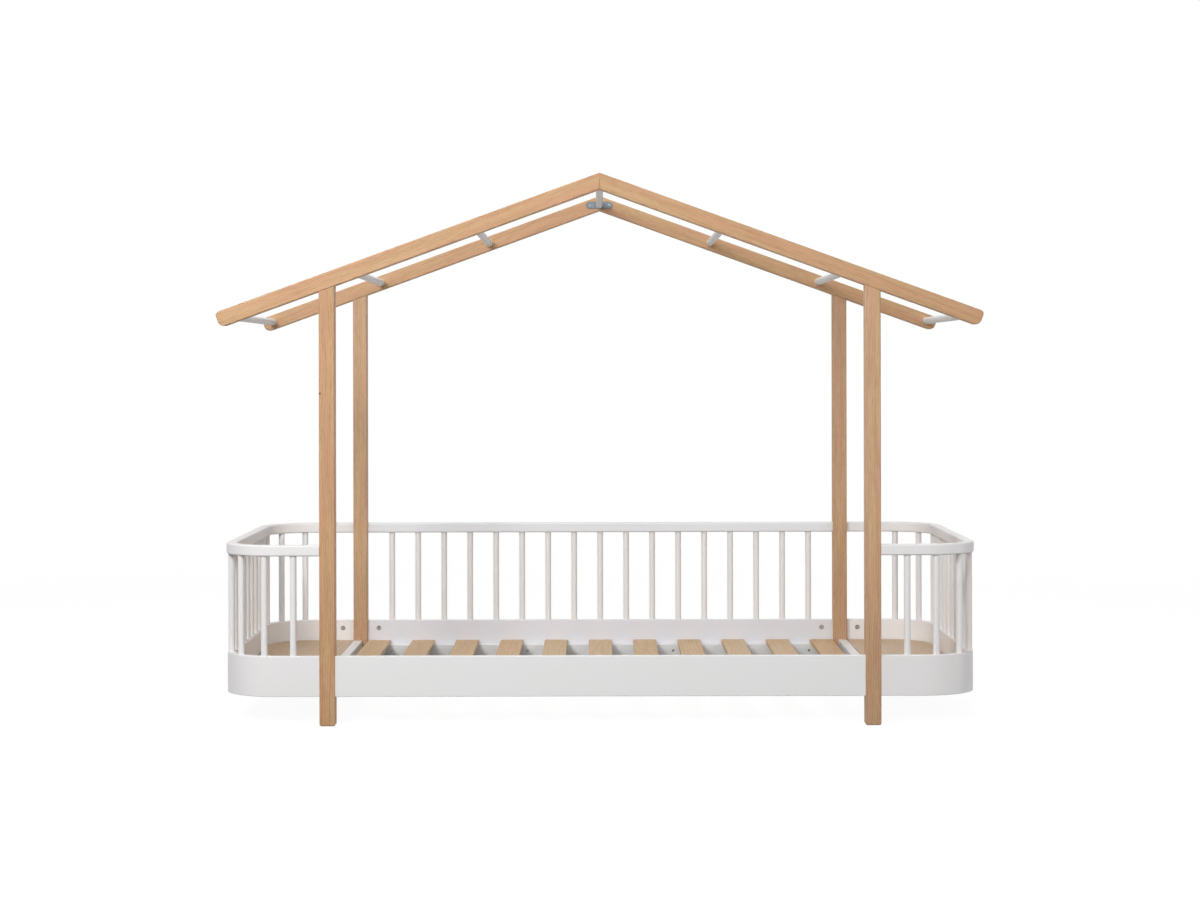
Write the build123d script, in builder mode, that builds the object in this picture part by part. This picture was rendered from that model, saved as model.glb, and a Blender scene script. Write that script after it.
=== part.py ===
from build123d import *
from math import cos, radians, sin, tan
import os

os.makedirs("parts", exist_ok=True)

# House bed for a mattress of 900 by 2000 mm, in millimetres.
# X runs along the bed, Y across it with the open side towards -Y, and Z up.
# The origin is on the floor, under the middle of the bed.

# Overall
bed_width = 970.0  # front faces of the front posts to back faces of the rear posts
ridge_height = 1504.0  # floor to the top of the ridge

# Posts
post_size = 43.0
post_spacing = 1485.0  # between post centres, along the bed
post_edge = 3.5
foot_round = 6.0  # rounding of the foot, seen from the front

# Plan of the boards and rails: both lie on one centre line that goes round the bed
board_setback = 3.0  # outer face of the boards behind the outer face of the posts
end_straight = 120.0  # outer side of a post to the start of the bend
corner_radius = 139.0  # of the centre line

# Base boards
board_bottom = 80.0
board_height = 110.0
board_thick = 22.0
board_edge = 1.8

# Rails
rail_bottom = 462.0
rail_height = 30.0
rail_thick = 28.0
rail_edge = 4.5

# Spindles between the boards and the rails
spindle_diameter = 18.0
spindle_tenon_diameter = 10.0
spindle_tenon_length = 15.0
end_spindle_count = 16
end_spindle_margin = 72.0  # side of a post to the first spindle, along the centre line
back_spindle_count = 17
back_spindle_margin = 75.0

# Slatted deck between the posts
deck_top = 129.0  # floor to the top of the slats, crossbars and end panels
slat_count = 11
slat_width = 70.0
slat_thick = 12.0
slat_edge = 1.5
slat_side_gap = 1.5  # first and last slat to the posts
slat_end_gap = 2.0  # slat ends to the side boards
support_depth = 25.0
support_height = 36.0
support_edge = 1.5
support_end_gap = 1.5
support_screw_rise = 16.0  # above the bottom of the support
support_screw_inset = 75.5  # from the side of a post
support_screw_middle = 225.0  # inner pair of screws, from the middle of the bed
support_screw_length = 40.0
peg_diameter = 6.0
peg_in_slat = 8.0
peg_in_support = 12.0

# Crossbars between the front and rear posts
crossbar_width = 27.0
crossbar_height = 45.0
crossbar_edge = 2.0
crossbar_dowel_drop = 14.0  # below the top of the crossbar

# End panels, which drop in on cleats
panel_thick = 12.0
panel_edge = 1.0
panel_board_gap = 3.0
panel_post_gap = 1.0
cleat_depth = 20.0
cleat_height = 20.0
cleat_edge = 1.0
cleat_end_gap = 12.0  # end cleat to the start of the bend
crossbar_cleat_gap = 22.0  # crossbar cleat to the posts
cleat_screw_inset = 60.0
cleat_screw_length = 36.0

# Roof
roof_pitch = 19.9
beam_height = 43.0  # square to the slope
beam_length = 1113.5  # along the top face, ridge to end
beam_end_top_round = 11.0
beam_end_low_round = 17.0
beam_edge = 3.0
mitre_closed = 16.0  # height of the mitre that closes tight, from the top of the ridge
mitre_seam_half = 0.5  # how far each beam's outer edge is eased along the rest of the mitre
mitre_seam_depth = 6.0
rung_diameter = 21.0
rung_tenon_diameter = 12.0
rung_tenon_length = 16.0
ridge_rung_drop = 29.0  # below the top of the ridge
upper_rung_reach = 341.0  # ridge to the upper rung, level
lower_rung_margin = 37.0  # end of the beam's top face to the lower rung, level
plate_length = 82.0
plate_height = 21.0
plate_thick = 2.5
plate_edge = 0.6
plate_screw_reach = 30.0  # ridge to each screw
plate_screw_length = 22.0
plate_screw_head = 2.2

# Cam locks, bolts and dowels
fit = 0.1  # radial clearance of a pin in its bore
end_gap = 0.5  # spare depth beyond the end of a pin
cam_diameter = 15.0
cam_floor = 3.5  # below the bolt's axis
cam_axis_depth = 11.0  # under the face, in rails and crossbars
cam_inset = 34.0  # from the end of the board or rail
cam_sink = 1.0  # face of the cam under the surface
cam_bevel = 1.6
cam_slot_length = 9.0
cam_slot_width = 2.4
cam_slot_depth = 3.0
board_cam_drop = 24.0  # below the top of the board
bolt_diameter = 7.0
bolt_neck_diameter = 4.0
bolt_head_length = 3.0
post_bolt_depth = 11.0
dowel_diameter = 8.0
dowel_length = 30.0
board_dowel_rise = 24.0  # above the bottom of the board
rail_dowel_drop = 8.0  # below the top of the rail
screw_diameter = 4.0
screw_head_diameter = 8.0
screw_slot_length = 4.8
screw_slot_width = 1.2
screw_slot_depth = 1.4

# Roof bolts, their insert nuts and the dowels beside them
roof_bolt_diameter = 8.0
roof_bolt_head_diameter = 13.0
roof_bolt_head_height = 8.0
roof_bolt_sink = 9.0  # depth of the counterbore
roof_bolt_in_post = 23.0
roof_bolt_key = 6.0  # across the flats of the hexagon
roof_bolt_key_depth = 4.0
nut_diameter = 12.0
nut_length = 20.0
roof_dowel_length = 40.0
roof_dowel_offset = 13.5  # from the middle of the post or beam, towards its outer face
mitre_dowel_spread = 9.0  # above and below the middle of the pair
mitre_dowel_drop = 4.0  # middle of the pair below the middle of the mitre

# Faces and lines that follow from the sizes
half_width = bed_width / 2
post_middle_x = post_spacing / 2
post_middle_y = half_width - post_size / 2
post_inner_x = post_middle_x - post_size / 2
post_outer_x = post_middle_x + post_size / 2
post_inner_y = half_width - post_size
line_half_width = half_width - board_setback - board_thick / 2
line_half_length = post_outer_x + end_straight + corner_radius
board_top = board_bottom + board_height
board_inner_y = line_half_width - board_thick / 2
board_inner_x = line_half_length - board_thick / 2
rail_top = rail_bottom + rail_height
deck_bottom = deck_top - slat_thick
slat_pitch = (2 * (post_inner_x - slat_side_gap) - slat_width) / (slat_count - 1)
slat_length = 2 * (board_inner_y - slat_end_gap)
support_middle_y = board_inner_y - support_depth / 2
crossbar_middle_x = post_outer_x - crossbar_width / 2
crossbar_bottom = deck_top - crossbar_height
panel_bottom = deck_top - panel_thick
board_bolt_z = board_top - board_cam_drop
board_dowel_z = board_bottom + board_dowel_rise
rail_bolt_z = rail_bottom + cam_axis_depth
rail_dowel_z = rail_top - rail_dowel_drop
crossbar_bolt_z = crossbar_bottom + cam_axis_depth
crossbar_dowel_z = deck_top - crossbar_dowel_drop

slope = tan(radians(roof_pitch))
beam_rise = beam_height / cos(radians(roof_pitch))  # beam height measured upright
beam_end_x = beam_length * cos(radians(roof_pitch))
ridge_rung_z = ridge_height - ridge_rung_drop
lower_rung_x = beam_end_x - lower_rung_margin
middle_rung_x = (upper_rung_reach + lower_rung_x) / 2
mitre_middle_z = ridge_height - beam_rise / 2 - mitre_dowel_drop
roof_normal = Vector(sin(radians(roof_pitch)), 0, cos(radians(roof_pitch)))
down_slope = Vector(cos(radians(roof_pitch)), 0, -sin(radians(roof_pitch)))

towards_end = Vector(1, 0, 0)
towards_middle = Vector(-1, 0, 0)
towards_inside = Vector(0, -1, 0)
up = Vector(0, 0, 1)
down = Vector(0, 0, -1)


def roof_underside(x):
    """Height of the beams' lower face at a distance from the ridge."""
    return ridge_height - beam_rise - x * slope


def beam_middle(x):
    """Height of the beams' centre line at a distance from the ridge."""
    return ridge_height - beam_rise / 2 - x * slope


def keep(piece, name):
    """Label a finished piece and write it."""
    piece.part.label = name
    export_step(piece.part, f"parts/{name}.step")


def mirrored(piece, *planes):
    """The same piece on the other side of the bed."""
    with BuildPart() as copy:
        add(piece.part)
        for plane in planes:
            mirror(about=plane, mode=Mode.REPLACE)
    return copy


def keep_pair(piece, name):
    """Write the right-hand piece and its left-hand twin."""
    keep(piece, f"{name}_right")
    keep(mirrored(piece, Plane.YZ), f"{name}_left")


def bore(origin, mouth, diameter, depth):
    """Round hole from a point on a face, where mouth points out of the wood."""
    with Locations(Plane(origin, z_dir=mouth)):
        Hole(radius=diameter / 2 + fit, depth=depth + end_gap)


def countersunk(origin, mouth, clearance, length, mode=Mode.ADD):
    """Shaft and flat conical head of a screw, or the hole for one."""
    shaft_radius = screw_diameter / 2 + clearance
    head_radius = screw_head_diameter / 2 + clearance
    sunk = (Align.CENTER, Align.CENTER, Align.MAX)
    with Locations(Plane(origin, z_dir=mouth)):
        Cylinder(shaft_radius, length, align=sunk, mode=mode)
        Cone(shaft_radius, head_radius, head_radius - shaft_radius, align=sunk, mode=mode)


def screw_slots(origin, mouth, length, width, depth):
    """Cross recess in the face of a screw or cam."""
    with Locations(Plane(origin, z_dir=mouth)):
        Box(length, width, 2 * depth, mode=Mode.SUBTRACT)
        Box(width, length, 2 * depth, mode=Mode.SUBTRACT)


# Places that two or more pieces share, in the rear right quarter of the bed

board_cam_points = [
    Vector(post_inner_x - cam_inset, board_inner_y, board_bolt_z),
    Vector(post_outer_x + cam_inset, board_inner_y, board_bolt_z),
]
rail_cam_points = [
    Vector(post_inner_x - cam_inset, line_half_width, rail_bottom),
    Vector(post_outer_x + cam_inset, line_half_width, rail_bottom),
]
crossbar_cam_point = Vector(crossbar_middle_x, post_inner_y - cam_inset, crossbar_bottom)
roof_seat = Vector(post_middle_x, post_middle_y, roof_underside(post_middle_x))
roof_dowel_seat = roof_seat + Vector(0, roof_dowel_offset, 0)
mitre_dowel_heights = [mitre_middle_z - mitre_dowel_spread, mitre_middle_z + mitre_dowel_spread]
rung_places = {"upper": upper_rung_reach, "middle": middle_rung_x, "lower": lower_rung_x}

with BuildLine() as end_line:
    end_path = FilletPolyline(
        (post_outer_x, line_half_width),
        (line_half_length, line_half_width),
        (line_half_length, -line_half_width),
        (post_outer_x, -line_half_width),
        radius=corner_radius,
    )
end_spindle_pitch = (end_path.length - 2 * end_spindle_margin) / (end_spindle_count - 1)
end_spindle_points = [
    end_path @ ((end_spindle_margin + i * end_spindle_pitch) / end_path.length)
    for i in range(end_spindle_count)
]
back_spindle_pitch = 2 * (post_inner_x - back_spindle_margin) / (back_spindle_count - 1)
back_spindle_points = [
    Vector(back_spindle_margin - post_inner_x + i * back_spindle_pitch, line_half_width)
    for i in range(back_spindle_count)
]
slat_middles = [(i - (slat_count - 1) / 2) * slat_pitch for i in range(slat_count)]
support_screw_places = [
    side * reach
    for side in (-1, 1)
    for reach in (support_screw_middle, post_inner_x - support_screw_inset)
]
support_screw_z = deck_bottom - support_height + support_screw_rise
crossbar_cleat_half = post_inner_y - crossbar_cleat_gap
end_cleat_half = line_half_width - corner_radius - cleat_end_gap
cleat_screw_z = panel_bottom - cleat_height / 2
crossbar_cleat_face = post_outer_x + cleat_depth
end_cleat_face = board_inner_x - cleat_depth


def cleat_screw_rows(half_length):
    """Places of the three screws along a cleat."""
    reach = half_length - cleat_screw_inset
    return (-reach, 0, reach)


def long_edges(piece, cut_x):
    """Lengthwise edges of a board or rail, without those of its sawn ends."""
    level = piece.edges().filter_by(lambda edge: abs(edge.tangent_at(0.5).Z) < 0.5)
    return level.filter_by(lambda edge: abs(abs(edge.center().X) - cut_x) > 1)


# Posts

def post(at_rear):
    """Post of the right side, shown at the rear; a front post is its mirror image."""
    with BuildPart() as piece:
        with BuildSketch(Plane.XZ.offset(-half_width)) as side_view:
            with BuildLine():
                Polyline(
                    (post_inner_x, 0),
                    (post_outer_x, 0),
                    (post_outer_x, roof_underside(post_outer_x)),
                    (post_inner_x, roof_underside(post_inner_x)),
                    close=True,
                )
            make_face()
            fillet(side_view.vertices().group_by(Axis.Y)[0], foot_round)
        extrude(amount=post_size)
        outlines = piece.faces().filter_by(Axis.Y).edges()
        low_outlines = outlines.filter_by(lambda edge: edge.center().Z < roof_underside(post_outer_x))
        fillet(low_outlines, post_edge)

        # Boards on both sides
        inner_face = Vector(post_inner_x, line_half_width, 0)
        outer_face = Vector(post_outer_x, line_half_width, 0)
        bore(outer_face + up * board_bolt_z, towards_end, bolt_diameter, post_size)
        bore(outer_face + up * board_dowel_z, towards_end, dowel_diameter, dowel_length / 2)
        bore(inner_face + up * board_dowel_z, towards_middle, dowel_diameter, dowel_length / 2)

        # Rails, on both sides at the rear and on the outer side at the front
        rail_bolt_depth = post_size if at_rear else post_bolt_depth
        bore(outer_face + up * rail_bolt_z, towards_end, bolt_diameter, rail_bolt_depth)
        bore(outer_face + up * rail_dowel_z, towards_end, dowel_diameter, dowel_length / 2)
        if at_rear:
            bore(inner_face + up * rail_dowel_z, towards_middle, dowel_diameter, dowel_length / 2)

        # Crossbar
        bar_face = Vector(crossbar_middle_x, post_inner_y, 0)
        bore(bar_face + up * crossbar_bolt_z, towards_inside, bolt_diameter, post_bolt_depth)
        bore(bar_face + up * crossbar_dowel_z, towards_inside, dowel_diameter, dowel_length / 2)

        # Roof
        bore(roof_seat, roof_normal, nut_diameter, roof_bolt_in_post)
        bore(roof_dowel_seat, roof_normal, dowel_diameter, roof_dowel_length / 2)
    return piece


keep_pair(post(at_rear=True), "post_rear")
keep_pair(mirrored(post(at_rear=False), Plane.XZ), "post_front")


# Base boards and rails

def bent_end(bottom, height, thick, edge):
    """Bent half of the ring at the right end of the bed."""
    with BuildPart() as piece:
        with BuildSketch(Plane.XY.offset(bottom)):
            RectangleRounded(
                2 * line_half_length + thick,
                2 * line_half_width + thick,
                corner_radius + thick / 2,
            )
            RectangleRounded(
                2 * line_half_length - thick,
                2 * line_half_width - thick,
                corner_radius - thick / 2,
                mode=Mode.SUBTRACT,
            )
            with Locations((post_outer_x, 0)):
                Rectangle(
                    line_half_length,
                    2 * line_half_width + 2 * thick,
                    align=(Align.MIN, Align.CENTER),
                    mode=Mode.INTERSECT,
                )
        extrude(amount=height)
        fillet(long_edges(piece, post_outer_x), edge)
    return piece


def straight_side(bottom, height, thick, edge):
    """Straight piece of the ring between the rear posts."""
    with BuildPart() as piece:
        with BuildSketch(Plane.XY.offset(bottom)):
            with Locations((0, line_half_width)):
                Rectangle(2 * post_inner_x, thick)
        extrude(amount=height)
        fillet(long_edges(piece, post_inner_x), edge)
    return piece


def spindle_bores(points, z, mouth):
    """Sockets for the tenons of a row of spindles."""
    for point in points:
        bore(Vector(point.X, point.Y, z), mouth, spindle_tenon_diameter, spindle_tenon_length)


def cam_bore(point, mouth, axis_depth):
    """Pocket for a cam lock."""
    with Locations(Plane(point, z_dir=mouth)):
        Hole(radius=cam_diameter / 2, depth=axis_depth + cam_floor)


def end_joint_bores(face_x, mouth, bolt_z, dowel_z, sides):
    """Bolt and dowel holes in the sawn ends of a board or rail."""
    for side in sides:
        face = Vector(face_x, side * line_half_width, 0)
        bore(face + up * bolt_z, mouth, bolt_diameter, cam_inset)
        bore(face + up * dowel_z, mouth, dowel_diameter, dowel_length / 2)


with BuildPart() as end_board:
    add(bent_end(board_bottom, board_height, board_thick, board_edge).part)
    spindle_bores(end_spindle_points, board_top, up)
    end_joint_bores(post_outer_x, towards_middle, board_bolt_z, board_dowel_z, (-1, 1))
    for side in (-1, 1):
        cam_face = Vector(board_cam_points[1].X, side * board_inner_y, board_bolt_z)
        cam_bore(cam_face, towards_inside * side, board_thick / 2)
    for y in cleat_screw_rows(end_cleat_half):
        face = Vector(end_cleat_face, y, cleat_screw_z)
        countersunk(face, towards_middle, fit, cleat_screw_length + end_gap, Mode.SUBTRACT)

keep_pair(end_board, "end_board")


def side_board(at_rear):
    """Straight base board, shown at the rear."""
    with BuildPart() as piece:
        add(straight_side(board_bottom, board_height, board_thick, board_edge).part)
        if at_rear:
            spindle_bores(back_spindle_points, board_top, up)
        for side in (-1, 1):
            mouth = towards_end * side
            end_joint_bores(side * post_inner_x, mouth, board_bolt_z, board_dowel_z, (1,))
            cam_face = Vector(side * board_cam_points[0].X, board_inner_y, board_bolt_z)
            cam_bore(cam_face, towards_inside, board_thick / 2)
        for x in support_screw_places:
            face = Vector(x, board_inner_y - support_depth, support_screw_z)
            countersunk(face, towards_inside, fit, support_screw_length + end_gap, Mode.SUBTRACT)
    return piece


keep(side_board(at_rear=True), "side_board_rear")
keep(mirrored(side_board(at_rear=False), Plane.XZ), "side_board_front")

with BuildPart() as end_rail:
    add(bent_end(rail_bottom, rail_height, rail_thick, rail_edge).part)
    spindle_bores(end_spindle_points, rail_bottom, down)
    end_joint_bores(post_outer_x, towards_middle, rail_bolt_z, rail_dowel_z, (-1, 1))
    for side in (-1, 1):
        cam_face = Vector(rail_cam_points[1].X, side * line_half_width, rail_bottom)
        cam_bore(cam_face, down, cam_axis_depth)

keep_pair(end_rail, "end_rail")

with BuildPart() as back_rail:
    add(straight_side(rail_bottom, rail_height, rail_thick, rail_edge).part)
    spindle_bores(back_spindle_points, rail_bottom, down)
    for side in (-1, 1):
        mouth = towards_end * side
        end_joint_bores(side * post_inner_x, mouth, rail_bolt_z, rail_dowel_z, (1,))
        cam_face = Vector(side * rail_cam_points[0].X, line_half_width, rail_bottom)
        cam_bore(cam_face, down, cam_axis_depth)

keep(back_rail, "back_rail")


# Spindles

def spindles(points):
    """Row of round spindles with a tenon at each end."""
    with BuildPart() as row:
        with BuildSketch(Plane.XY.offset(board_top)):
            with Locations(*points):
                Circle(spindle_diameter / 2)
        extrude(amount=rail_bottom - board_top)
        with BuildSketch(Plane.XY.offset(board_top - spindle_tenon_length)):
            with Locations(*points):
                Circle(spindle_tenon_diameter / 2)
        extrude(amount=rail_bottom - board_top + 2 * spindle_tenon_length)
    return row


keep_pair(spindles(end_spindle_points), "end_spindles")
keep(spindles(back_spindle_points), "back_spindles")


# Crossbars

with BuildPart() as crossbar:
    with BuildSketch(Plane.XY.offset(crossbar_bottom)):
        with Locations((crossbar_middle_x, 0)):
            Rectangle(crossbar_width, 2 * post_inner_y)
    extrude(amount=crossbar_height)
    fillet(crossbar.edges().filter_by(Axis.Y), crossbar_edge)
    for side in (-1, 1):
        mouth = towards_inside * -side
        face = Vector(crossbar_middle_x, side * post_inner_y, 0)
        bore(face + up * crossbar_bolt_z, mouth, bolt_diameter, cam_inset)
        bore(face + up * crossbar_dowel_z, mouth, dowel_diameter, dowel_length / 2)
        cam_face = Vector(crossbar_middle_x, side * crossbar_cam_point.Y, crossbar_bottom)
        cam_bore(cam_face, down, cam_axis_depth)
    for y in cleat_screw_rows(crossbar_cleat_half):
        face = Vector(crossbar_cleat_face, y, cleat_screw_z)
        countersunk(face, towards_end, fit, cleat_screw_length + end_gap, Mode.SUBTRACT)

keep_pair(crossbar, "crossbar")


# Slats and their supports

def slat(middle_x):
    """One slat, with a blind socket for a peg under each end."""
    with BuildPart() as piece:
        with BuildSketch(Plane.XY.offset(deck_bottom)):
            with Locations((middle_x, 0)):
                Rectangle(slat_width, slat_length)
        extrude(amount=slat_thick)
        fillet(piece.edges().filter_by(Axis.Y), slat_edge)
        for side in (-1, 1):
            socket = Vector(middle_x, side * support_middle_y, deck_bottom)
            bore(socket, down, peg_diameter, peg_in_slat)
    return piece


for number, middle_x in enumerate(slat_middles, start=1):
    keep(slat(middle_x), f"slat_{number:02d}")

with BuildPart() as slat_support:
    with BuildSketch(Plane.XY.offset(deck_bottom - support_height)):
        with Locations((0, support_middle_y)):
            Rectangle(2 * (post_inner_x - support_end_gap), support_depth)
    extrude(amount=support_height)
    fillet(slat_support.edges().filter_by(Axis.X), support_edge)
    for x in slat_middles:
        bore(Vector(x, support_middle_y, deck_bottom), up, peg_diameter, peg_in_support)
    for x in support_screw_places:
        face = Vector(x, board_inner_y - support_depth, support_screw_z)
        countersunk(face, towards_inside, fit, support_screw_length, Mode.SUBTRACT)

keep(slat_support, "slat_support_rear")
keep(mirrored(slat_support, Plane.XZ), "slat_support_front")

with BuildPart() as slat_pegs:
    with BuildSketch(Plane.XY.offset(deck_bottom - peg_in_support)):
        with Locations(*[(x, side * support_middle_y) for x in slat_middles for side in (-1, 1)]):
            Circle(peg_diameter / 2)
    extrude(amount=peg_in_support + peg_in_slat)

keep(slat_pegs, "slat_pegs")


# End panels and their cleats

with BuildPart() as end_panel:
    with BuildSketch(Plane.XY.offset(panel_bottom)):
        RectangleRounded(
            2 * (board_inner_x - panel_board_gap),
            2 * (board_inner_y - panel_board_gap),
            corner_radius - board_thick / 2 - panel_board_gap,
        )
        with Locations((post_outer_x + panel_post_gap, 0)):
            Rectangle(
                line_half_length,
                2 * line_half_width,
                align=(Align.MIN, Align.CENTER),
                mode=Mode.INTERSECT,
            )
    extrude(amount=panel_thick)
    fillet(end_panel.faces().sort_by(Axis.Z)[-1].edges(), panel_edge)
    fillet(end_panel.faces().sort_by(Axis.Z)[0].edges(), panel_edge)

keep_pair(end_panel, "end_panel")


def cleat(low_x, half_length, screw_face_x, mouth):
    """Batten under the edge of an end panel."""
    with BuildPart() as piece:
        with BuildSketch(Plane.XY.offset(panel_bottom - cleat_height)):
            with Locations((low_x + cleat_depth / 2, 0)):
                Rectangle(cleat_depth, 2 * half_length)
        extrude(amount=cleat_height)
        fillet(piece.edges().filter_by(Axis.Y), cleat_edge)
        for y in cleat_screw_rows(half_length):
            face = Vector(screw_face_x, y, cleat_screw_z)
            countersunk(face, mouth, fit, cleat_screw_length, Mode.SUBTRACT)
    return piece


keep_pair(
    cleat(post_outer_x, crossbar_cleat_half, crossbar_cleat_face, towards_end),
    "crossbar_cleat",
)
keep_pair(cleat(end_cleat_face, end_cleat_half, end_cleat_face, towards_middle), "end_cleat")


# Roof

with BuildPart() as roof_beam:
    ridge = Vector(0, 0, ridge_height)
    top_end = ridge + down_slope * beam_length
    low_end = top_end - roof_normal * beam_height
    with BuildSketch(Plane.XZ.offset(-half_width)) as side_view:
        with BuildLine():
            Polyline(
                (0, ridge_height),
                (top_end.X, top_end.Z),
                (low_end.X, low_end.Z),
                (0, ridge_height - beam_rise),
                close=True,
            )
        make_face()
        fillet(side_view.vertices().sort_by(Axis.X)[-1], beam_end_top_round)
        fillet(side_view.vertices().sort_by(Axis.Y)[0], beam_end_low_round)
    extrude(amount=post_size)
    outlines = roof_beam.faces().filter_by(Axis.Y).edges()
    fillet(outlines.filter_by(lambda edge: abs(edge.center().X) > 1), beam_edge)

    # Eased seam along the lower part of the mitre
    seam_height = beam_rise - mitre_closed + beam_edge
    with Locations((0, half_width, ridge_height - mitre_closed - seam_height / 2)):
        Box(2 * mitre_seam_half, 2 * mitre_seam_depth, seam_height, mode=Mode.SUBTRACT)

    # Rungs
    bore(Vector(0, post_inner_y, ridge_rung_z), towards_inside, rung_tenon_diameter, rung_tenon_length)
    for x in rung_places.values():
        socket = Vector(x, post_inner_y, beam_middle(x))
        bore(socket, towards_inside, rung_tenon_diameter, rung_tenon_length)

    # Ridge plate screws and mitre dowels
    screw_point = Vector(plate_screw_reach, post_inner_y, ridge_rung_z)
    bore(screw_point, towards_inside, screw_diameter, plate_screw_length)
    for z in mitre_dowel_heights:
        socket = Vector(0, post_middle_y + roof_dowel_offset, z)
        bore(socket, towards_middle, dowel_diameter, roof_dowel_length / 2)

    # Post joint
    with Locations(Plane(roof_seat + roof_normal * beam_height, z_dir=roof_normal)):
        CounterBoreHole(
            radius=roof_bolt_diameter / 2 + fit,
            counter_bore_radius=roof_bolt_head_diameter / 2 + fit,
            counter_bore_depth=roof_bolt_sink,
            depth=beam_height + end_gap,
        )
    bore(roof_dowel_seat, -roof_normal, dowel_diameter, roof_dowel_length / 2)

keep_pair(roof_beam, "roof_beam_rear")
keep_pair(mirrored(roof_beam, Plane.XZ), "roof_beam_front")


def rung(x, z, half_length, tenon_length):
    """Round rung across the roof, with a tenon at each end."""
    with BuildPart() as piece:
        with BuildSketch(Plane.XZ.offset(-half_length)):
            with Locations((x, z)):
                Circle(rung_diameter / 2)
        extrude(amount=2 * half_length)
        with BuildSketch(Plane.XZ.offset(-half_length - tenon_length)):
            with Locations((x, z)):
                Circle(rung_tenon_diameter / 2)
        extrude(amount=2 * (half_length + tenon_length))
    return piece


ridge_rung_half = post_inner_y - plate_thick
keep(rung(0, ridge_rung_z, ridge_rung_half, plate_thick + rung_tenon_length), "ridge_rung")
for place, x in rung_places.items():
    piece = rung(x, beam_middle(x), post_inner_y, rung_tenon_length)
    keep(piece, f"rung_right_{place}")
    keep(mirrored(piece, Plane.YZ), f"rung_left_{place}")

with BuildPart() as ridge_plate:
    with BuildSketch(Plane.XZ.offset(-post_inner_y)):
        with Locations((0, ridge_rung_z)):
            SlotOverall(plate_length, plate_height)
            Circle(rung_tenon_diameter / 2 + fit, mode=Mode.SUBTRACT)
        with Locations((-plate_screw_reach, ridge_rung_z), (plate_screw_reach, ridge_rung_z)):
            Circle(screw_diameter / 2 + fit, mode=Mode.SUBTRACT)
    extrude(amount=plate_thick)
    rim = ridge_plate.faces().sort_by(Axis.Y)[0].outer_wire().edges()
    fillet(rim, plate_edge)

keep(ridge_plate, "ridge_plate_rear")
keep(mirrored(ridge_plate, Plane.XZ), "ridge_plate_front")

with BuildPart() as ridge_plate_screws:
    for side in (-1, 1):
        plate_face = post_inner_y - plate_thick
        head_seat = Plane((side * plate_screw_reach, plate_face, ridge_rung_z), z_dir=towards_inside)
        with Locations(head_seat):
            Cylinder(
                screw_head_diameter / 2,
                plate_screw_head,
                align=(Align.CENTER, Align.CENTER, Align.MIN),
            )
            Cylinder(
                screw_diameter / 2,
                plate_thick + plate_screw_length,
                align=(Align.CENTER, Align.CENTER, Align.MAX),
            )
        head_top = head_seat.origin + towards_inside * plate_screw_head
        screw_slots(head_top, towards_inside, screw_slot_length, screw_slot_width, screw_slot_depth)
    mirror(about=Plane.XZ)

keep(ridge_plate_screws, "ridge_plate_screws")


# Fasteners, each kind in one group

def screw_group(faces, length):
    """Countersunk screws whose heads lie flush in the given faces."""
    with BuildPart() as group:
        for origin, mouth in faces:
            countersunk(origin, mouth, 0, length)
            screw_slots(origin, mouth, screw_slot_length, screw_slot_width, screw_slot_depth)
    return group


support_screw_faces = [
    (Vector(x, side * (board_inner_y - support_depth), support_screw_z), towards_inside * side)
    for x in support_screw_places
    for side in (-1, 1)
]
keep(screw_group(support_screw_faces, support_screw_length), "slat_support_screws")

cleat_screw_faces = []
for side in (-1, 1):
    for y in cleat_screw_rows(crossbar_cleat_half):
        face = Vector(side * crossbar_cleat_face, y, cleat_screw_z)
        cleat_screw_faces.append((face, towards_end * side))
    for y in cleat_screw_rows(end_cleat_half):
        face = Vector(side * end_cleat_face, y, cleat_screw_z)
        cleat_screw_faces.append((face, towards_middle * side))
keep(screw_group(cleat_screw_faces, cleat_screw_length), "cleat_screws")


def cam_lock(point, mouth, towards_bolt, axis_depth):
    """Round cam with a cross recess and a side entry for the bolt's head."""
    cam_radius = cam_diameter / 2 - fit
    face = point - mouth * cam_sink
    with Locations(Plane(face - mouth * cam_bevel, z_dir=mouth)):
        Cylinder(
            cam_radius,
            axis_depth + cam_floor - fit - cam_sink - cam_bevel,
            align=(Align.CENTER, Align.CENTER, Align.MAX),
        )
        Cone(
            cam_radius,
            cam_radius - cam_bevel,
            cam_bevel,
            align=(Align.CENTER, Align.CENTER, Align.MIN),
        )
    screw_slots(face, mouth, cam_slot_length, cam_slot_width, cam_slot_depth)
    entry = point - mouth * axis_depth + towards_bolt * cam_radius
    with Locations(Plane(entry, z_dir=towards_bolt)):
        Hole(radius=bolt_diameter / 2 + fit, depth=cam_radius + bolt_head_length / 2)


with BuildPart() as cam_locks:
    cam_lock(board_cam_points[0], towards_inside, towards_end, board_thick / 2)
    cam_lock(board_cam_points[1], towards_inside, towards_middle, board_thick / 2)
    cam_lock(rail_cam_points[1], down, towards_middle, cam_axis_depth)
    cam_lock(crossbar_cam_point, down, -towards_inside, cam_axis_depth)
    mirror(about=Plane.XZ)
    cam_lock(rail_cam_points[0], down, towards_end, cam_axis_depth)
    mirror(about=Plane.YZ)

keep(cam_locks, "cam_locks")


def bolt_end(cam_centre, towards_bolt):
    """Head and neck of a cam bolt, up to the edge of its cam."""
    with Locations(Plane(cam_centre, z_dir=towards_bolt)):
        Cylinder(bolt_diameter / 2 - fit, bolt_head_length)
        Cylinder(
            bolt_neck_diameter / 2,
            cam_diameter / 2,
            align=(Align.CENTER, Align.CENTER, Align.MIN),
        )


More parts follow.
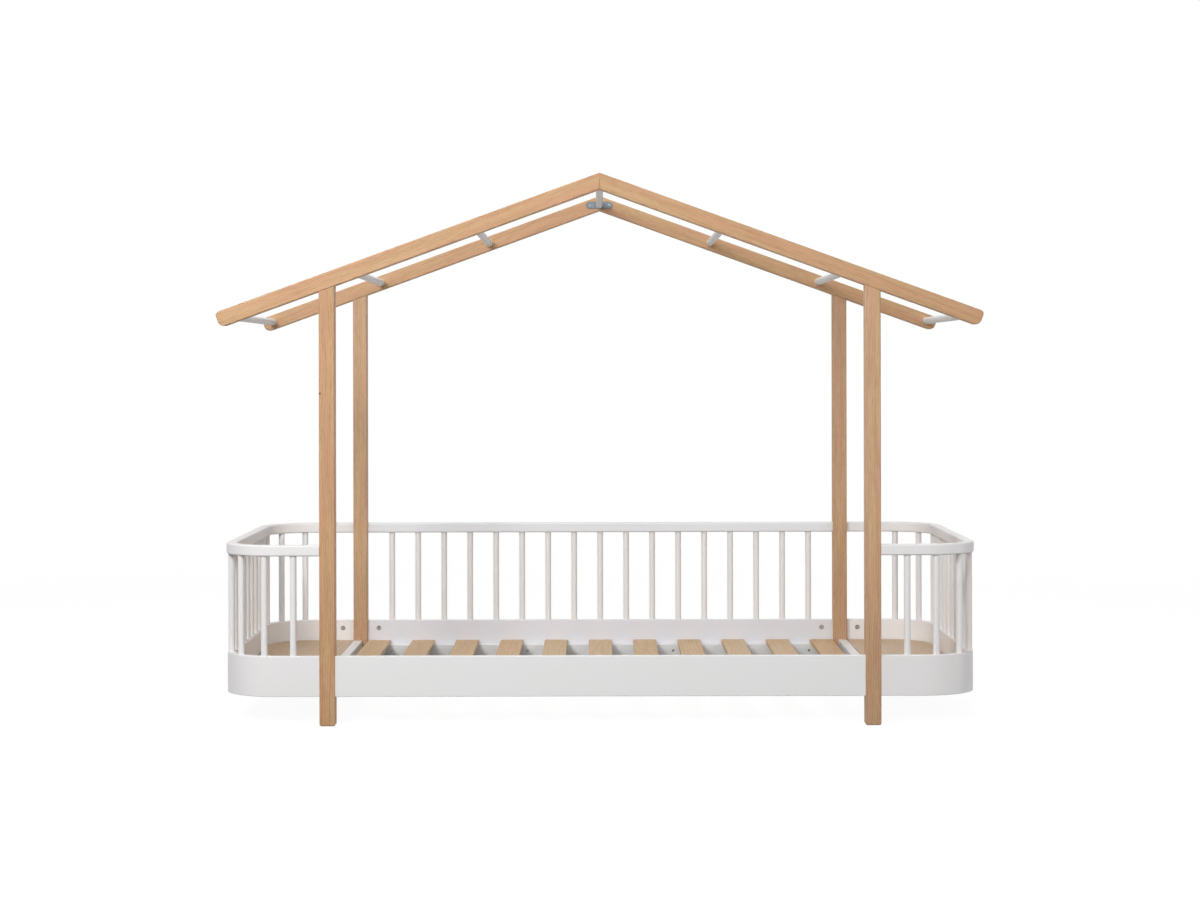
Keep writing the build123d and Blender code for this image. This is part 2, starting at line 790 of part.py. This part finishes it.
def bolt_shank(start, direction, length):
    """Plain shank of a cam bolt."""
    with Locations(Plane(start, z_dir=direction)):
        Cylinder(bolt_diameter / 2, length, align=(Align.CENTER, Align.CENTER, Align.MIN))


shank_inset = cam_inset - cam_diameter / 2
with BuildPart() as through_bolts:
    for z in (board_bolt_z, rail_bolt_z):
        inner_cam = Vector(post_inner_x - cam_inset, line_half_width, z)
        outer_cam = Vector(post_outer_x + cam_inset, line_half_width, z)
        bolt_end(inner_cam, towards_end)
        bolt_end(outer_cam, towards_middle)
        shank_start = Vector(post_inner_x - shank_inset, line_half_width, z)
        bolt_shank(shank_start, towards_end, post_size + 2 * shank_inset)
        if z == board_bolt_z:
            mirror(about=Plane.XZ)
    mirror(about=Plane.YZ)

keep(through_bolts, "through_bolts")

with BuildPart() as post_bolts:
    rail_cam = Vector(post_outer_x + cam_inset, -line_half_width, rail_bolt_z)
    bolt_end(rail_cam, towards_middle)
    shank_start = Vector(post_outer_x + shank_inset, -line_half_width, rail_bolt_z)
    bolt_shank(shank_start, towards_middle, shank_inset + post_bolt_depth)
    for side in (-1, 1):
        towards_post = towards_inside * -side
        bar_cam = Vector(crossbar_middle_x, side * crossbar_cam_point.Y, crossbar_bolt_z)
        bolt_end(bar_cam, towards_post)
        shank_start = bar_cam + towards_post * (cam_diameter / 2)
        bolt_shank(shank_start, towards_post, shank_inset + post_bolt_depth)
    mirror(about=Plane.YZ)

keep(post_bolts, "post_bolts")


def dowel(seam, direction, length):
    """Wooden dowel, half of it on each side of a seam."""
    with Locations(Plane(seam, z_dir=direction)):
        Cylinder(dowel_diameter / 2, length)


with BuildPart() as frame_dowels:
    for face_x in (post_inner_x, post_outer_x):
        dowel(Vector(face_x, line_half_width, board_dowel_z), towards_end, dowel_length)
    dowel(Vector(post_outer_x, line_half_width, rail_dowel_z), towards_end, dowel_length)
    bar_seam = Vector(crossbar_middle_x, post_inner_y, crossbar_dowel_z)
    dowel(bar_seam, towards_inside, dowel_length)
    mirror(about=Plane.XZ)
    dowel(Vector(post_inner_x, line_half_width, rail_dowel_z), towards_end, dowel_length)
    mirror(about=Plane.YZ)

keep(frame_dowels, "frame_dowels")

with BuildPart() as roof_dowels:
    dowel(roof_dowel_seat, roof_normal, roof_dowel_length)
    mirror(about=Plane.YZ)
    for z in mitre_dowel_heights:
        seam = Vector(0, post_middle_y + roof_dowel_offset, z)
        dowel(seam, towards_end, roof_dowel_length)
    mirror(about=Plane.XZ)

keep(roof_dowels, "roof_dowels")

with BuildPart() as roof_bolts:
    head_seat = roof_seat + roof_normal * (beam_height - roof_bolt_sink)
    with Locations(Plane(head_seat, z_dir=roof_normal)):
        Cylinder(
            roof_bolt_head_diameter / 2,
            roof_bolt_head_height,
            align=(Align.CENTER, Align.CENTER, Align.MIN),
        )
        Cylinder(
            roof_bolt_diameter / 2,
            beam_height - roof_bolt_sink + roof_bolt_in_post,
            align=(Align.CENTER, Align.CENTER, Align.MAX),
        )
    with BuildSketch(Plane(head_seat + roof_normal * roof_bolt_head_height, z_dir=roof_normal)):
        RegularPolygon(roof_bolt_key / 2, 6, major_radius=False)
    extrude(amount=-roof_bolt_key_depth, mode=Mode.SUBTRACT)
    mirror(about=Plane.YZ)
    mirror(about=Plane.XZ)

keep(roof_bolts, "roof_bolts")

with BuildPart() as roof_nuts:
    with Locations(Plane(roof_seat, z_dir=roof_normal)):
        Cylinder(nut_diameter / 2, nut_length, align=(Align.CENTER, Align.CENTER, Align.MAX))
        Hole(radius=roof_bolt_diameter / 2 + fit, depth=nut_length)
    mirror(about=Plane.YZ)
    mirror(about=Plane.XZ)

keep(roof_nuts, "roof_nuts")
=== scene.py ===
"""The looks of the canopy bed: materials, floor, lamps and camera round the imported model."""
import math
import random

import bpy
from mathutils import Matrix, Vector


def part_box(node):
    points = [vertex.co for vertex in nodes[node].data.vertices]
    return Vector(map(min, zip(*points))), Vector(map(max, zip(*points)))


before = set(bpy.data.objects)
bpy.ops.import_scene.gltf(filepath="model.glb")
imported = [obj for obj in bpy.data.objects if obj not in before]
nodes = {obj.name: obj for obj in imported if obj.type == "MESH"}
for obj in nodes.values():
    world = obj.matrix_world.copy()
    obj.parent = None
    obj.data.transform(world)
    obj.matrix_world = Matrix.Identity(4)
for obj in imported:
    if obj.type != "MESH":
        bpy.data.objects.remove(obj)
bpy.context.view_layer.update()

# Lengths are in metres. +X is to the right in the photograph, -Y is the open front, +Z is up.

ROOF_SLOPE = math.atan2(
    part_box("roof_beam_front_left")[1].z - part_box("roof_beam_front_left")[0].z,
    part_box("roof_beam_front_left")[1].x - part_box("roof_beam_front_left")[0].x,
)


# Node helpers

class Graph:
    """Adds nodes to one tree and joins them.

    A value given for a socket is a number, a tuple or another socket.
    """

    def __init__(self, tree):
        self.tree = tree

    def node(self, kind, inputs=None, **settings):
        made = self.tree.nodes.new("ShaderNode" + kind)
        for key, value in settings.items():
            setattr(made, key, value)
        for key, value in (inputs or {}).items():
            self.feed(made.inputs[key], value)
        return made

    def feed(self, socket, value):
        if isinstance(value, bpy.types.NodeSocket):
            self.tree.links.new(value, socket)
        elif socket.type == "RGBA" and len(value) == 3:
            socket.default_value = (*value, 1.0)
        else:
            socket.default_value = value

    def math(self, operation, first, second=0.0, clamp=False):
        return self.node("Math", {0: first, 1: second}, operation=operation, use_clamp=clamp).outputs[0]

    def vector(self, operation, first, second):
        return self.node("VectorMath", {0: first, 1: second}, operation=operation).outputs[0]

    def length(self, vector):
        return self.node("VectorMath", {0: vector}, operation="LENGTH").outputs["Value"]

    def noise(self, place, stretch, detail=2.0, roughness=0.5):
        """A noise from 0 to 1; stretch is how many of its features fit in a metre along each axis."""
        made = self.node("TexNoise", {
            "Vector": self.vector("MULTIPLY", place, stretch),
            "Scale": 1.0,
            "Detail": detail,
            "Roughness": roughness,
        })
        return made.outputs["Fac"]

    def remap(self, value, low, high, to_low=0.0, to_high=1.0, smooth=True):
        made = self.node("MapRange", {
            "Value": value,
            "From Min": low,
            "From Max": high,
            "To Min": to_low,
            "To Max": to_high,
        }, interpolation_type="SMOOTHSTEP" if smooth else "LINEAR")
        return made.outputs["Result"]

    def mix(self, factor, first, second, blend="MIX"):
        made = self.node("Mix", {"Factor": factor}, data_type="RGBA", blend_type=blend)
        self.feed(made.inputs[6], first)
        self.feed(made.inputs[7], second)
        return made.outputs[2]

    def seen(self):
        """1 for camera, gloss and glass rays, which see a thing, and 0 for the rays that light others."""
        rays = self.node("LightPath")
        straight_or_gloss = self.math("MAXIMUM", rays.outputs["Is Camera Ray"], rays.outputs["Is Glossy Ray"])
        return self.math("MAXIMUM", straight_or_gloss, rays.outputs["Is Transmission Ray"])


def new_material(name):
    material = bpy.data.materials.new(name)
    material.use_nodes = True
    graph = Graph(material.node_tree)
    shader = material.node_tree.nodes["Principled BSDF"]
    return material, graph, shader


def linear(red, green, blue):
    """A colour as it is seen, from 0 to 255, as Blender's linear values."""
    return tuple(
        c / 12.92 if c <= 0.04045 else ((c + 0.055) / 1.055) ** 2.4
        for c in (red / 255, green / 255, blue / 255)
    )


# Wood

GRAIN_TURNS = {
    "x": (0.0, 0.0, 0.0),
    "y": (0.0, 0.0, -math.pi / 2),
    "z": (0.0, math.pi / 2, 0.0),
    "left_slope": (0.0, ROOF_SLOPE, 0.0),
    "right_slope": (0.0, -ROOF_SLOPE, 0.0),
}
PORE_SHADE = 0.42
KNOT_SHADE = 0.2
# Painted shade: wood is multiplied by this colour towards the floor, full below the first height and gone
# above the second, for light that falls off downwards
PAINTED_LOW_SHADE_COLOUR = (0.84, 0.82, 0.80)
PAINTED_SHADE_FULL_BELOW = 0.15
PAINTED_SHADE_NONE_ABOVE = 0.55


def wood(
    name,
    light,
    dark,
    blush,
    grain,
    seed,
    ring_pitch=0.006,
    figure=0.24,
    pores=0.28,
    sheen_roughness=0.45,
    knots=(),
    low_painted_shade=0.0,
):
    """Solid wood cut out of a trunk: rings round a pith beside the piece, streaks, fibres, pores and flecks.

    light, dark and blush are the early wood, the late wood and the tint of the warmer patches. knots are
    points on the surface with their radius, and low_painted_shade is painted shade: how far the wood
    darkens towards the floor, where less light falls.
    """
    material, graph, shader = new_material(name)
    draw = random.Random(seed)
    place = graph.node("TexCoord").outputs["Object"]
    along = graph.node("Mapping", {
        "Vector": place,
        "Rotation": GRAIN_TURNS[grain],
        "Location": (draw.uniform(-9, 9), draw.uniform(0.04, 0.09), draw.uniform(0.05, 0.12)),
    }).outputs["Vector"]
    drift = graph.node("TexNoise", {
        "Vector": graph.vector("MULTIPLY", along, (1.7, 7.0, 7.0)),
        "Scale": 1.0,
        "Detail": 2.0,
        "Roughness": 0.45,
    }).outputs["Color"]
    drift = graph.vector("MULTIPLY", graph.vector("SUBTRACT", drift, (0.5, 0.5, 0.5)), (0.0, 0.045, 0.045))
    flowing = graph.vector("ADD", along, drift)
    waver = graph.node("TexNoise", {
        "Vector": graph.vector("MULTIPLY", along, (9.0, 40.0, 40.0)),
        "Scale": 1.0,
        "Detail": 3.0,
    }).outputs["Color"]
    waver = graph.vector("MULTIPLY", graph.vector("SUBTRACT", waver, (0.5, 0.5, 0.5)), (0.0, 0.004, 0.004))
    rings = graph.node("TexWave", {
        "Vector": graph.vector("ADD", flowing, waver),
        "Scale": 2 * math.pi / (20 * ring_pitch),
        "Distortion": 0.0,
    }, wave_type="RINGS", rings_direction="X", wave_profile="SAW").outputs["Fac"]
    late = graph.remap(rings, 0.35, 0.95)
    early = graph.remap(rings, 0.30, 0.02)
    streaks = graph.noise(flowing, (5.0, 90.0, 90.0), 3.0, 0.55)
    fibres = graph.noise(flowing, (22.0, 700.0, 700.0), 3.0, 0.6)
    patches = graph.noise(flowing, (3.0, 75.0, 75.0), 2.0, 0.5)
    dashes = graph.noise(flowing, (42.0, 330.0, 330.0), 1.0, 0.4)
    flecks = graph.noise(along, (150.0, 70.0, 260.0), 1.0, 0.5)
    vessels = graph.noise(flowing, (60.0, 1500.0, 1500.0), 1.0, 0.5)

    tone = graph.math("MULTIPLY", late, figure)
    tone = graph.math("ADD", tone, graph.remap(streaks, 0.36, 0.68, 0.0, 0.34))
    tone = graph.math("ADD", tone, graph.remap(fibres, 0.35, 0.7, -0.12, 0.2))
    tone = graph.math("ADD", tone, graph.remap(flecks, 0.6, 0.78, 0.0, -0.05))
    tone = graph.math("ADD", tone, graph.remap(dashes, 0.56, 0.7, 0.0, 0.2))
    tone = graph.math("ADD", tone, graph.remap(dashes, 0.44, 0.3, 0.0, -0.12), clamp=True)
    colour = graph.mix(graph.remap(patches, 0.4, 0.6), light, blush)
    colour = graph.mix(tone, colour, dark)
    porous = graph.math("ADD", early, 0.25, clamp=True)
    pore_mask = graph.math("MULTIPLY", graph.remap(vessels, 0.58, 0.72), porous)
    pore_mask = graph.math("MULTIPLY", pore_mask, pores)
    colour = graph.mix(pore_mask, colour, tuple(PORE_SHADE * c for c in dark))
    raised = graph.math("MULTIPLY", fibres, 0.35)
    height = graph.math("SUBTRACT", raised, graph.math("MULTIPLY", pore_mask, 0.6))
    for x, y, z, radius in knots:
        reach = graph.length(graph.vector("SUBTRACT", place, (x, y, z)))
        spot = graph.remap(reach, 0.35 * radius, radius, 1.0, 0.0)
        colour = graph.mix(spot, colour, tuple(KNOT_SHADE * c for c in dark))
    # Painted shade: darker towards the floor, where less light falls
    if low_painted_shade:
        height_up = graph.node("SeparateXYZ", {0: place}).outputs["Z"]
        painted_shade_lowness = graph.remap(height_up, PAINTED_SHADE_FULL_BELOW, PAINTED_SHADE_NONE_ABOVE, low_painted_shade, 0.0)
        colour = graph.mix(painted_shade_lowness, colour, PAINTED_LOW_SHADE_COLOUR, "MULTIPLY")
    graph.feed(shader.inputs["Base Color"], colour)
    gloss = graph.remap(fibres, 0.3, 0.75, sheen_roughness - 0.06, sheen_roughness + 0.12, smooth=False)
    graph.feed(shader.inputs["Roughness"], graph.math("ADD", gloss, graph.math("MULTIPLY", pore_mask, 0.3)))
    bump = graph.node("Bump", {"Strength": 0.35, "Distance": 0.0004, "Height": height})
    graph.feed(shader.inputs["Normal"], bump.outputs["Normal"])
    shader.inputs["Specular IOR Level"].default_value = 0.35
    return material


# White lacquer

def lacquer(name, colour, grain, seed):
    """Sprayed satin lacquer on wood: an even film with a faint orange skin and the fibres just showing."""
    material, graph, shader = new_material(name)
    draw = random.Random(seed)
    place = graph.node("TexCoord").outputs["Object"]
    along = graph.node("Mapping", {
        "Vector": place,
        "Rotation": GRAIN_TURNS[grain],
        "Location": (draw.uniform(-5, 5), draw.uniform(-5, 5), draw.uniform(-5, 5)),
    }).outputs["Vector"]
    skin = graph.noise(along, (420.0, 420.0, 420.0), 1.0, 0.4)
    fibres = graph.noise(along, (14.0, 420.0, 420.0), 3.0, 0.6)
    clouds = graph.noise(along, (5.0, 11.0, 11.0), 3.0, 0.55)
    wear = graph.noise(along, (60.0, 140.0, 140.0), 4.0, 0.65)
    shade = tuple(0.985 * c for c in colour)
    warm = tuple(c * f for c, f in zip(colour, (1.0, 0.997, 0.99)))
    tint = graph.mix(graph.remap(clouds, 0.35, 0.68), colour, warm)
    tint = graph.mix(graph.remap(fibres, 0.42, 0.78, 0.0, 0.25), tint, shade)
    graph.feed(shader.inputs["Base Color"], tint)
    gloss = graph.remap(wear, 0.3, 0.72, 0.34, 0.5, smooth=False)
    graph.feed(shader.inputs["Roughness"], gloss)
    height = graph.math("ADD", graph.math("MULTIPLY", skin, 0.6), graph.math("MULTIPLY", fibres, 0.2))
    bump = graph.node("Bump", {"Strength": 0.08, "Distance": 0.0002, "Height": height})
    graph.feed(shader.inputs["Normal"], bump.outputs["Normal"])
    shader.inputs["Specular IOR Level"].default_value = 0.4
    return material


# Metal

def metal(name, colour, dark, roughness, grain_stretch, spangle, seed):
    """Plated or cast metal: drawn or cast marks, spangles of the plating and stains."""
    material, graph, shader = new_material(name)
    draw = random.Random(seed)
    place = graph.node("TexCoord").outputs["Object"]
    moved = graph.vector("ADD", place, (draw.uniform(-3, 3), draw.uniform(-3, 3), draw.uniform(-3, 3)))
    crystals = graph.node("TexVoronoi", {"Vector": moved, "Scale": spangle, "Randomness": 1.0})
    crystal = graph.node("SeparateColor", {0: crystals.outputs["Color"]}).outputs[0]
    marks = graph.noise(moved, grain_stretch, 3.0, 0.6)
    stains = graph.noise(moved, (60.0, 60.0, 60.0), 3.0, 0.6)
    tone = graph.math("ADD", graph.math("MULTIPLY", crystal, 0.35), graph.remap(stains, 0.35, 0.7, 0.0, 0.5))
    tone = graph.math("ADD", tone, graph.remap(marks, 0.4, 0.75, -0.1, 0.25), clamp=True)
    graph.feed(shader.inputs["Base Color"], graph.mix(tone, colour, dark))
    rough = graph.math("ADD", graph.math("MULTIPLY", crystal, 0.12), graph.remap(marks, 0.3, 0.7, -0.05, 0.1))
    graph.feed(shader.inputs["Roughness"], graph.math("ADD", rough, roughness))
    bump = graph.node("Bump", {"Strength": 0.3, "Distance": 0.0001, "Height": marks})
    graph.feed(shader.inputs["Normal"], bump.outputs["Normal"])
    shader.inputs["Metallic"].default_value = 0.85
    return material


# Colours

OAK_LIGHT = linear(205, 167, 125)
OAK_DARK = linear(170, 129, 89)
OAK_BLUSH = linear(207, 160, 124)
SLAT_LIGHT = linear(207, 177, 136)
SLAT_DARK = linear(184, 150, 108)
SLAT_BLUSH = linear(208, 173, 135)
PANEL_LIGHT = linear(202, 176, 144)
PANEL_DARK = linear(177, 151, 121)
PANEL_BLUSH = linear(202, 171, 141)
BEECH = linear(222, 188, 150)
BEECH_DARK = tuple(0.85 * c for c in BEECH)
WHITE = linear(237, 237, 237)
# Painted light and shade: lit and shaded copies of WHITE for the ends, the back rail and the rear board; the
# rear board is darker for the shade inside the bed, and the rail and rear board bluer against warm bounced
# light
WHITE_ENDS_PAINTED_LIGHT = linear(237, 235, 235)
WHITE_RAIL_PAINTED_LIGHT = linear(233, 235, 239)
WHITE_REAR_PAINTED_SHADE = linear(225, 226, 232)


def dress(names, material):
    for name in names:
        nodes[name].data.materials[0] = material


# Painted light and shade: the tone of each post beside OAK_LIGHT, OAK_DARK and OAK_BLUSH, standing in for the
# light that falls differently on each post, and how far it darkens towards the floor as painted shade

POSTS_PAINTED_LIGHT = {
    "post_front_left": ((0.96, 0.95, 0.96), 0.15),
    "post_front_right": ((1.03, 1.08, 1.18), 1.0),
    "post_rear_left": ((1.00, 1.08, 1.19), 1.0),
    "post_rear_right": ((0.96, 1.01, 1.10), 0.7),
}
KNOTS = {"post_front_left": [(-0.7610, -0.4845, 0.905, 0.0045)]}
SIDES = ("left", "right")


def toned(colours, tone):
    return [tuple(c * t for c, t in zip(colour, tone)) for colour in colours]


# Painted light and shade: each post gets its own tone and its darkening towards the floor
for number, (name, (tone, low_painted_shade)) in enumerate(POSTS_PAINTED_LIGHT.items()):
    oak = toned((OAK_LIGHT, OAK_DARK, OAK_BLUSH), tone)
    look = {"figure": 0.34, "pores": 0.4, "knots": KNOTS.get(name, ()), "low_painted_shade": low_painted_shade}
    dress([name], wood("oak_" + name, *oak, "z", 11 + number, **look))
for number, side in enumerate(SIDES):
    for row, depth in enumerate(("front", "rear")):
        name = f"roof_beam_{depth}_{side}"
        seed = 31 + 2 * number + row
        dress([name], wood("oak_" + name, OAK_LIGHT, OAK_DARK, OAK_BLUSH, side + "_slope", seed))

PALE_SLATS = (5, 6, 9)
WARM_SLATS = (4, 7, 8)
WARMEST_SLAT = 11
SLAT_LOOK = {"ring_pitch": 0.009, "figure": 0.35, "pores": 0.15, "sheen_roughness": 0.5}
PANEL_LOOK = {"ring_pitch": 0.011, "figure": 0.3, "pores": 0.2, "sheen_roughness": 0.5}
draw_tone = random.Random(7)
for number in range(1, 12):
    warmth = draw_tone.uniform(-0.5, 0.5)
    if number in PALE_SLATS:
        warmth = -1.0
    if number in WARM_SLATS:
        warmth = 0.6
    if number == WARMEST_SLAT:
        warmth = 1.4
    tone = (1 - 0.015 * warmth, 1 - 0.05 * warmth, 1 - 0.09 * warmth)
    slat_wood = toned((SLAT_LIGHT, SLAT_DARK, SLAT_BLUSH), tone)
    dress([f"slat_{number:02d}"], wood(f"slat_wood_{number:02d}", *slat_wood, "y", 50 + number, **SLAT_LOOK))

for number, side in enumerate(SIDES):
    panel = wood(f"panel_wood_{side}", PANEL_LIGHT, PANEL_DARK, PANEL_BLUSH, "y", 70 + number, **PANEL_LOOK)
    dress([f"end_panel_{side}"], panel)

dress(
    ["side_board_front", "slat_support_front", "slat_support_rear"],
    lacquer("white_lacquer_front", WHITE, "x", 81),
)
# Painted shade and light: the rear board, rail, ends and spindles take the lit and shaded copies of the white
dress(["side_board_rear"], lacquer("white_lacquer_rear_board_painted_shade", WHITE_REAR_PAINTED_SHADE, "x", 84))
dress(["back_rail"], lacquer("white_lacquer_rail_painted_light", WHITE_RAIL_PAINTED_LIGHT, "x", 85))
END_PIECES = ("end_board", "end_rail", "crossbar", "crossbar_cleat", "end_cleat")
dress(
    [f"{piece}_{side}" for piece in END_PIECES for side in SIDES],
    lacquer("white_lacquer_ends_painted_light", WHITE_ENDS_PAINTED_LIGHT, "y", 82),
)
dress(
    ["ridge_rung"] + [f"rung_{side}_{place}" for side in SIDES for place in ("upper", "middle", "lower")],
    lacquer("white_lacquer_rungs", WHITE, "y", 86),
)
dress(
    ["end_spindles_left", "end_spindles_right", "back_spindles"],
    lacquer("white_lacquer_spindles_painted_light", WHITE_ENDS_PAINTED_LIGHT, "z", 83),
)

dress(
    ["slat_pegs", "frame_dowels", "roof_dowels"],
    wood("beech_pins", BEECH, BEECH_DARK, BEECH, "x", 91, ring_pitch=0.004, figure=0.2),
)
dress(
    ["ridge_plate_front", "ridge_plate_rear"],
    metal("zinc_plate", linear(112, 120, 125), linear(84, 91, 96), 0.42, (900.0, 900.0, 40.0), 260.0, 101),
)
dress(
    ["cam_locks"],
    metal("cast_zinc", linear(184, 184, 182), linear(110, 110, 110), 0.38, (300.0,) * 3, 330.0, 102),
)
dress(
    ["ridge_plate_screws", "slat_support_screws", "cleat_screws", "through_bolts", "post_bolts", "roof_bolts",
     "roof_nuts"],
    metal("steel_fasteners", linear(150, 150, 150), linear(100, 101, 104), 0.34, (600.0,) * 3, 500.0, 103),
)


# Floor

FLOOR_RADIUS = 40
FLOOR_SIDES = 96
SHADOW_REACH = 3.0  # the floor shows the whole shadow this far out
PURE_WHITE_REACH = 6.0


def stage_floor():
    """A grey floor to the lamps' light, but almost white to the camera, with the object's shadow on it."""
    mesh = bpy.data.meshes.new("floor")
    turns = [k * math.tau / FLOOR_SIDES for k in range(FLOOR_SIDES)]
    rim = [(FLOOR_RADIUS * math.cos(turn), FLOOR_RADIUS * math.sin(turn), 0.0) for turn in turns]
    mesh.from_pydata(rim, [], [list(range(FLOOR_SIDES))])
    floor = bpy.data.objects.new("floor", mesh)
    bpy.context.scene.collection.objects.link(floor)
    material = bpy.data.materials.new("studio_floor")
    material.use_nodes = True
    graph = Graph(material.node_tree)
    material.node_tree.nodes.remove(material.node_tree.nodes["Principled BSDF"])
    output = material.node_tree.nodes["Material Output"]
    paper = graph.node("BsdfDiffuse", {"Color": linear(114, 114, 114)})
    shaded = graph.node("BsdfDiffuse", {"Color": linear(96, 96, 96)})
    glow = graph.node("Emission", {"Color": (1.0, 1.0, 1.0), "Strength": 0.95})
    bright = graph.node("AddShader", {0: shaded.outputs[0], 1: glow.outputs[0]})
    place = graph.node("TexCoord").outputs["Object"]
    far = graph.remap(graph.length(place), SHADOW_REACH, PURE_WHITE_REACH)
    white = graph.node("Emission", {"Color": (1.0, 1.0, 1.0), "Strength": 1.0})
    near_far = graph.node("MixShader", {0: far, 1: bright.outputs[0], 2: white.outputs[0]})
    chosen = graph.node("MixShader", {0: graph.seen(), 1: paper.outputs[0], 2: near_far.outputs[0]})
    material.node_tree.links.new(chosen.outputs[0], output.inputs["Surface"])
    mesh.materials.append(material)


stage_floor()


# Light

WORLD_LIGHT = 0.095
WORLD_SEEN = 1.0


def lamp(name, place, target, size, power):
    data = bpy.data.lights.new(name, "AREA")
    data.shape = "DISK"
    data.size = size
    data.energy = power
    made = bpy.data.objects.new(name, data)
    made.location = place
    made.rotation_euler = (Vector(target) - Vector(place)).to_track_quat("-Z", "Y").to_euler()
    bpy.context.scene.collection.objects.link(made)


lamp("key", (-1.8, -3.4, 2.5), (0.0, 0.0, 1.0), 1.0, 78.0)
lamp("front", (-2.0, -10.0, 5.5), (0.0, 0.0, 0.6), 5.0, 300.0)
lamp("right", (7.0, -8.0, 5.0), (0.0, 0.0, 0.6), 5.0, 180.0)
lamp("left", (-5.0, -1.5, 2.2), (0.0, 0.0, 0.8), 2.0, 38.0)
lamp("low_right", (3.0, -0.6, 0.35), (1.0, -0.4, 0.13), 0.8, 8.8)
lamp("fill", (1.0, -2.6, 0.8), (0.4, -0.5, 0.15), 0.9, 5.2)
lamp("top", (0.0, 0.0, 4.0), (0.0, 0.0, 0.5), 3.0, 36.0)
lamp("back", (2.0, 7.0, 4.5), (0.0, 0.0, 0.5), 4.0, 45.0)

world = bpy.data.worlds.new("studio")
world.use_nodes = True
bpy.context.scene.world = world
sky = Graph(world.node_tree)
background = world.node_tree.nodes["Background"]
background.inputs["Color"].default_value = (1.0, 1.0, 1.0, 1.0)
strength = sky.remap(sky.seen(), 0.0, 1.0, WORLD_LIGHT, WORLD_SEEN, smooth=False)
sky.feed(background.inputs["Strength"], strength)


# Camera, at the photograph's place; its frame is 1200 x 900

camera_data = bpy.data.cameras.new("camera")
camera_data.lens = 73.53
camera_data.sensor_width = 36.0
camera_data.shift_x = 0.0002
camera_data.shift_y = -0.0712
camera = bpy.data.objects.new("camera", camera_data)
camera.location = (0.0, -7.145, 0.982)
camera.rotation_euler = (math.pi / 2, 0.0021, 0.0)
bpy.context.scene.collection.objects.link(camera)
bpy.context.scene.camera = camera
bpy.context.scene.view_settings.view_transform = "Standard"
